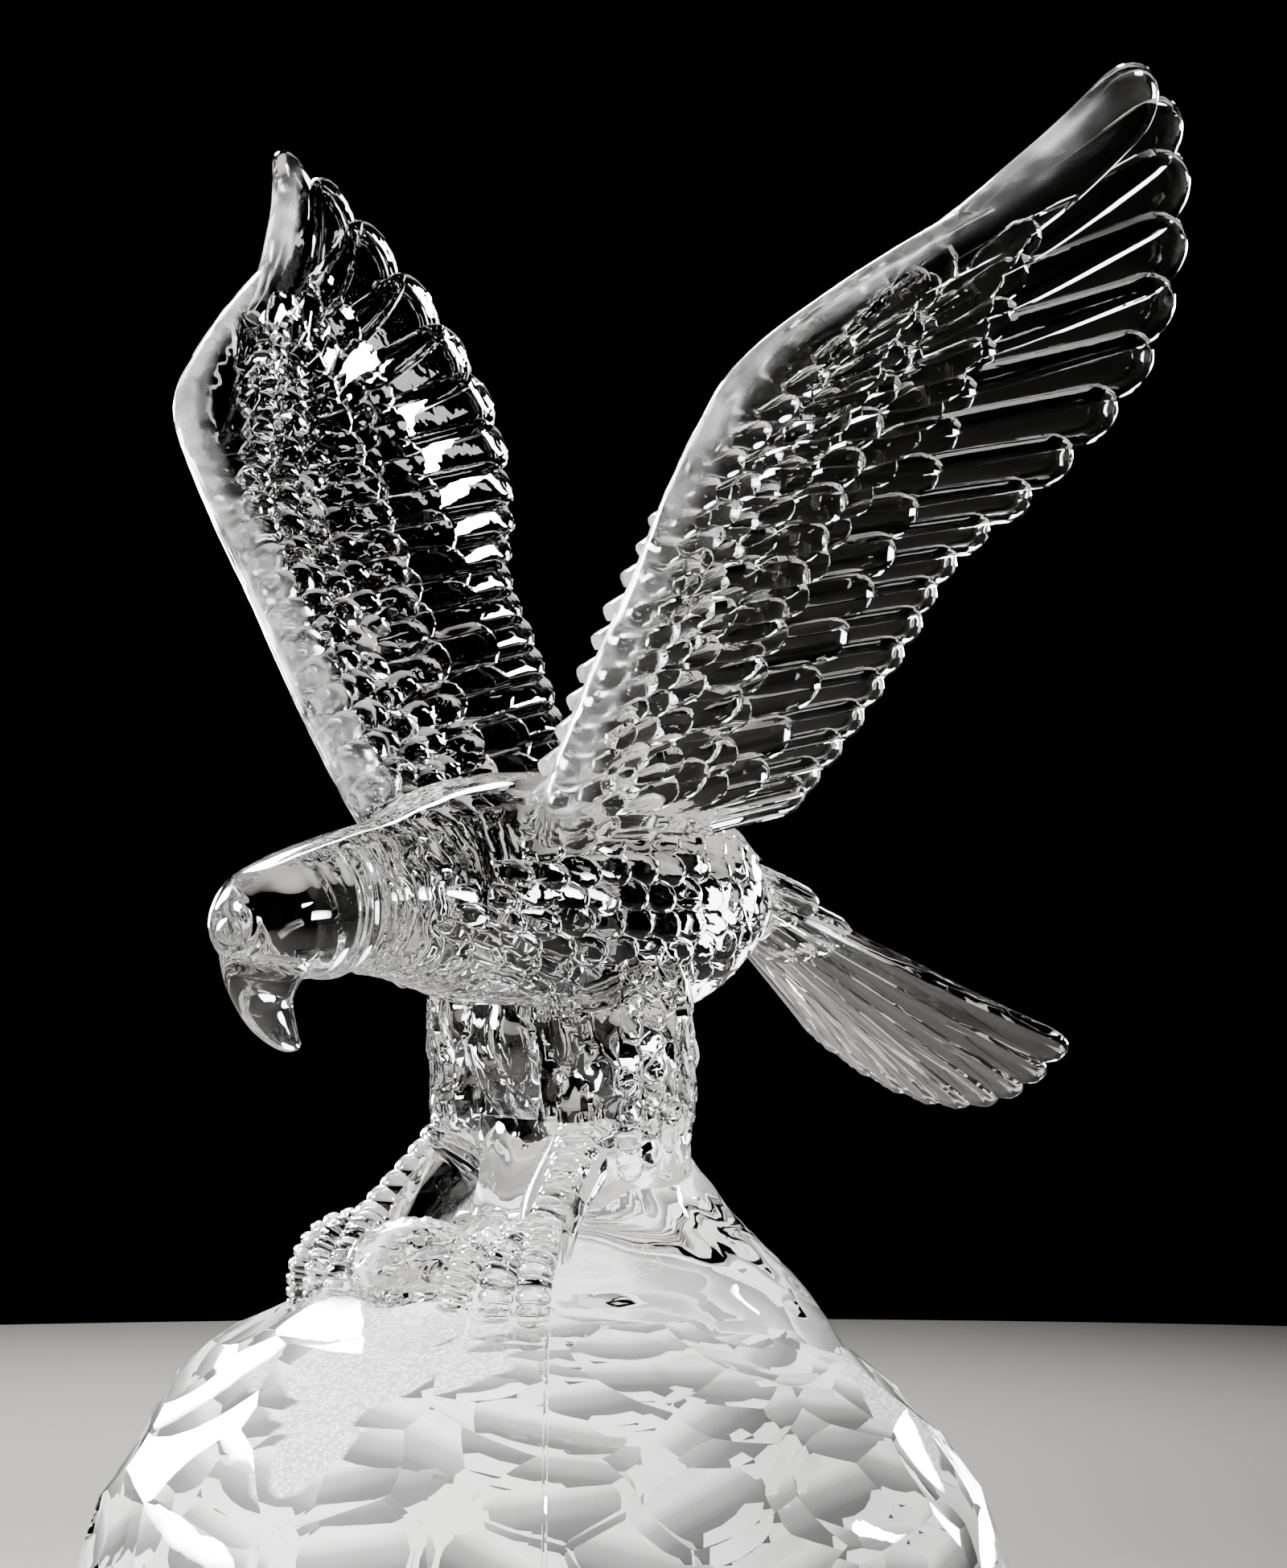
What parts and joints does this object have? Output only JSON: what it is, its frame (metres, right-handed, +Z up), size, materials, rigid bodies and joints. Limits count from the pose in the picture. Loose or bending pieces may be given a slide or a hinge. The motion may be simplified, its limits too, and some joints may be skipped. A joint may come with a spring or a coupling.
{
  "type": "glass eagle figurine",
  "caption": "Clear glass eagle with raised wings, cast in one with the cut rock it perches on, over a white core in the rock's hollow underside.",
  "frame": {"origin": "middle of the bounding box's base, on the surface that the rock stands on", "axes": "the eagle looks along -Y, its left wing is on +X and +Z is up"},
  "size_m": [0.201, 0.177, 0.2514],
  "materials": {
    "clear_glass": "fire-polished clear glass",
    "white_filling": "matt cast white"
  },
  "bodies": {
    "root": {"glass_eagle": "clear_glass", "white_core": "white_filling"}
  },
  "joints": []
}
